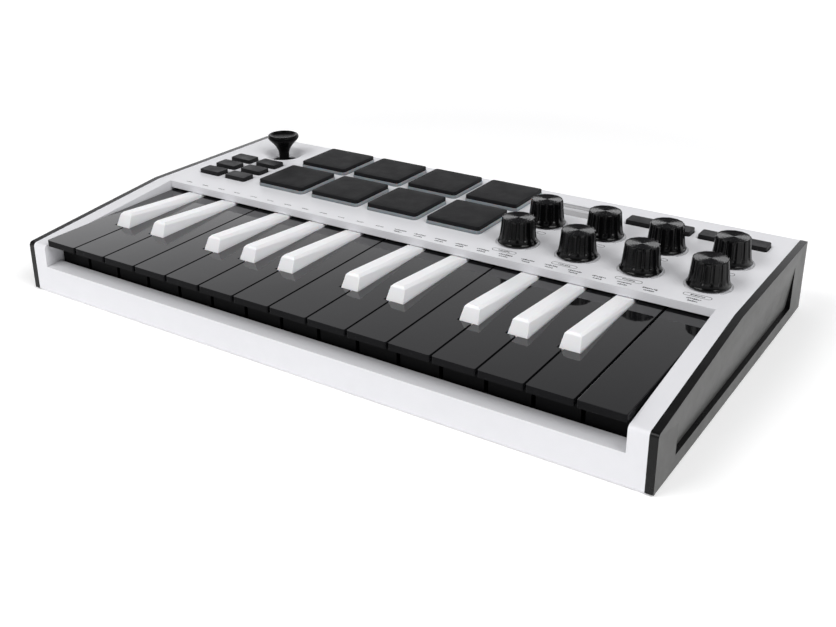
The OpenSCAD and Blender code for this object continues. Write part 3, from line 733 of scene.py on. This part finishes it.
def make_display(m):
    """Dark windows set just below the panel's face, with a pale grey strip across between them as a painted
    reflection band.
    """
    top = PANEL_Z - 0.25 * MM
    strip, rear_glass = 2.8 * MM, 4.2 * MM
    play, thick, edge = 0.1 * MM, 0.9 * MM, 0.15 * MM
    depths = (DISPLAY_SIZE.y - strip - rear_glass, rear_glass)
    glass = bmesh.new()
    for depth, side in zip(depths, (-1, 1)):
        at = DISPLAY + Vector((0, side * (DISPLAY_SIZE.y - depth) / 2, 0))
        loft(glass, rounded_cap(at, DISPLAY_SIZE.x, depth - play, 0.6 * MM, top - thick, top, edge,
                                shrink=(0.9, 0.6, 0.3)))
    add_piece("display_window", glass, m["glass"], "case", (), sharp=50)
    # Painted reflection: a pale grey strip standing in for the light band reflected across the display.
    reflection_band = bmesh.new()
    reflection_band_at = DISPLAY + Vector((0, DISPLAY_SIZE.y / 2 - rear_glass - strip / 2, 0))
    loft(reflection_band, rounded_cap(reflection_band_at, DISPLAY_SIZE.x, strip - play, 0.3 * MM, top - thick,
                             top + 0.05 * MM, edge, shrink=(0.8, 0.4)))
    add_piece("display_painted_reflection", reflection_band, m["display_reflection"], "case", (), sharp=50)


# ---- marks on the panel ----

def flat_strip(bm, corners, z):
    top = [bm.verts.new((x, y, z + INK_RISE)) for x, y in corners]
    low = [bm.verts.new((x, y, z - INK_SINK)) for x, y in corners]
    bm.faces.new(top)
    bm.faces.new(low[::-1])
    count = len(corners)
    for i in range(count):
        bm.faces.new((low[i], low[(i + 1) % count], top[(i + 1) % count], top[i]))


def band(bm, outer, inner, z):
    """A flat closed band between two rings of points, slightly proud of z."""
    low, top = z - INK_SINK, z + INK_RISE
    corners = ((outer, low), (outer, top), (inner, top), (inner, low))
    loft(bm, [[Vector((p.x, p.y, h)) for p in ring] for ring, h in corners], joined=True)


def arc_strip(bm, middle, radius, width, ends, steps=72):
    """A flat arc of a line on the panel."""
    sides = []
    for r in (radius - width / 2, radius + width / 2):
        sides.append([(middle.x + r * math.cos(a), middle.y + r * math.sin(a))
                      for a in (ends[0] + (ends[1] - ends[0]) * i / steps for i in range(steps + 1))])
    for i in range(steps):
        flat_strip(bm, [sides[0][i], sides[1][i], sides[1][i + 1], sides[0][i + 1]], PANEL_Z)


def make_print(m):
    """Arcs round the knobs, pill outlines before them, and short marks above the keys."""
    rng = random.Random(MARK_SEED)
    line = 0.13 * MM
    arc = (math.radians(-42), math.radians(222))
    rings = bmesh.new()
    ink = bmesh.new()
    for node in KNOBS:
        spot = centre(node)
        for radius in (9.6 * MM, 10.0 * MM):
            arc_strip(rings, spot, radius, line, arc)
        pill = Vector((spot.x, spot.y - 12.8 * MM, 0))
        band(ink, rect_ring(pill, 12 * MM, 2.9 * MM, 1.4 * MM, 0),
             rect_ring(pill, 11.5 * MM, 2.4 * MM, 1.15 * MM, 0), PANEL_Z)
        marks(ink, pill, 5.6 * MM, 1.1 * MM, rng)
    first, last = centre(NATURALS[0]).x, centre(NATURALS[-1]).x
    count, two_rows, apart = 24, 12, 18.5 * MM
    for i in range(count + 1):
        x = last if i == count else first + (last - apart - first) * i / (count - 1)
        spot = Vector((x, 0.4 * MM, 0))
        if i < two_rows:
            marks(ink, spot, 4.0 * MM, 0.8 * MM, rng)
        else:
            marks(ink, spot + Vector((0, 1.05 * MM, 0)), 6.4 * MM, 1.25 * MM, rng)
            marks(ink, spot - Vector((0, 1.05 * MM, 0)), 4.2 * MM, 1.15 * MM, rng)
    add_piece("knob_rings", rings, m["ring"], "case", (), sharp=30)
    add_piece("panel_marks", ink, m["print"], "case", (), sharp=30)


def marks(bm, spot, width, height, rng):
    """A row of short upright strokes of uneven height and foot, like worn tick marks."""
    x = spot.x - width / 2
    while x < spot.x + width / 2 - 0.3 * MM:
        stroke = rng.uniform(0.4, 0.8) * MM
        tall = height * rng.uniform(0.5, 1.0)
        low = spot.y - height / 2 + rng.uniform(0, 1) * (height - tall)
        flat_strip(bm, [(x, low), (x + stroke, low), (x + stroke, low + tall), (x, low + tall)], PANEL_Z)
        x += stroke + 0.2 * MM


# ---- stage ----

LIGHT_TARGET = Vector((0, 0, 0.02))
# Brightness of the surroundings by the upward part of the direction, from the level to straight up.
SKY = ((0.0, 1.9), (0.26, 1.7), (0.34, 1.2), (0.385, 0.74), (0.43, 0.5), (0.47, 0.42), (0.62, 0.15),
       (1.0, 0.10))


def soft_light(name, at, size, power):
    """A rectangular softbox that faces the middle of the object."""
    data = bpy.data.lights.new(name, "AREA")
    data.shape, data.size, data.size_y = "RECTANGLE", size[0], size[1]
    data.energy = power
    light = bpy.data.objects.new(name, data)
    light.location = at
    light.rotation_mode = "QUATERNION"
    light.rotation_quaternion = (Vector(at) - LIGHT_TARGET).to_track_quat("Z", "Y")
    bpy.context.scene.collection.objects.link(light)


def make_stage():
    bm = bmesh.new()
    bmesh.ops.create_grid(bm, x_segments=1, y_segments=1, size=6)
    mesh = bpy.data.meshes.new("floor")
    bm.to_mesh(mesh)
    bm.free()
    floor = bpy.data.objects.new("floor", mesh)
    s = Shader("floor_white", Roughness=0.9, Specular_IOR_Level=0.1)
    s.set(Base_Color=s.mix(s.noise(0.4), (0.90, 0.90, 0.90), (0.92, 0.92, 0.92)))
    away = s.node("ShaderNodeVectorMath", {0: s.place}, operation="LENGTH").outputs["Value"]
    s.set(Emission_Color=(1, 1, 1, 1), Emission_Strength=s.span(away, 0.32, 0.95, 0.26, 0.95))
    mesh.materials.append(s.material)
    bpy.context.scene.collection.objects.link(floor)

    world = bpy.data.worlds.new("studio")
    bpy.context.scene.world = world
    world.use_nodes = True
    tree = world.node_tree
    tree.nodes.clear()
    out = tree.nodes.new("ShaderNodeOutputWorld")
    seen = tree.nodes.new("ShaderNodeBackground")
    seen.inputs["Color"].default_value = (1, 1, 1, 1)
    lit = tree.nodes.new("ShaderNodeBackground")
    place = tree.nodes.new("ShaderNodeTexCoord")
    split = tree.nodes.new("ShaderNodeSeparateXYZ")
    ramp = tree.nodes.new("ShaderNodeValToRGB")
    tree.links.new(place.outputs["Generated"], split.inputs[0])
    tree.links.new(split.outputs["Z"], ramp.inputs["Fac"])
    for element, (position, value) in zip(ramp.color_ramp.elements, (SKY[0], SKY[-1])):
        element.position = position
        element.color = (value, value, value, 1)
    for position, value in SKY[1:-1]:
        ramp.color_ramp.elements.new(position).color = (value, value, value * 1.02, 1)
    tree.links.new(ramp.outputs["Color"], lit.inputs["Color"])
    rearward = tree.nodes.new("ShaderNodeMapRange")
    for socket, value in (("From Min", -0.3), ("From Max", 0.25), ("To Min", 0.38), ("To Max", 1.0)):
        rearward.inputs[socket].default_value = value
    tree.links.new(split.outputs["Y"], rearward.inputs["Value"])
    tree.links.new(rearward.outputs["Result"], lit.inputs["Strength"])
    path = tree.nodes.new("ShaderNodeLightPath")
    choose = tree.nodes.new("ShaderNodeMixShader")
    tree.links.new(path.outputs["Is Camera Ray"], choose.inputs[0])
    tree.links.new(lit.outputs[0], choose.inputs[1])
    tree.links.new(seen.outputs[0], choose.inputs[2])
    tree.links.new(choose.outputs[0], out.inputs["Surface"])

    soft_light("softbox_left", (-0.50, -0.72, 1.0), (0.9, 0.7), 9.6)
    soft_light("softbox_right", (0.90, -0.22, 1.0), (0.8, 0.7), 9.3)
    bpy.context.scene.view_settings.view_transform = "Standard"


make_camera()
make_stage()
MATERIALS = make_materials()
make_top_case(MATERIALS)
make_cheeks(MATERIALS)
make_base(MATERIALS)
make_feet(MATERIALS)
make_naturals(MATERIALS)
make_sharps(MATERIALS)
make_pads(MATERIALS)
make_buttons(MATERIALS)
make_knobs(MATERIALS)
make_joystick(MATERIALS)
make_electronics(MATERIALS)
make_display(MATERIALS)
make_print(MATERIALS)
dress("key_frame", MATERIALS["frame"])
dress("case_screws", MATERIALS["screw"])

bpy.context.view_layer.update()
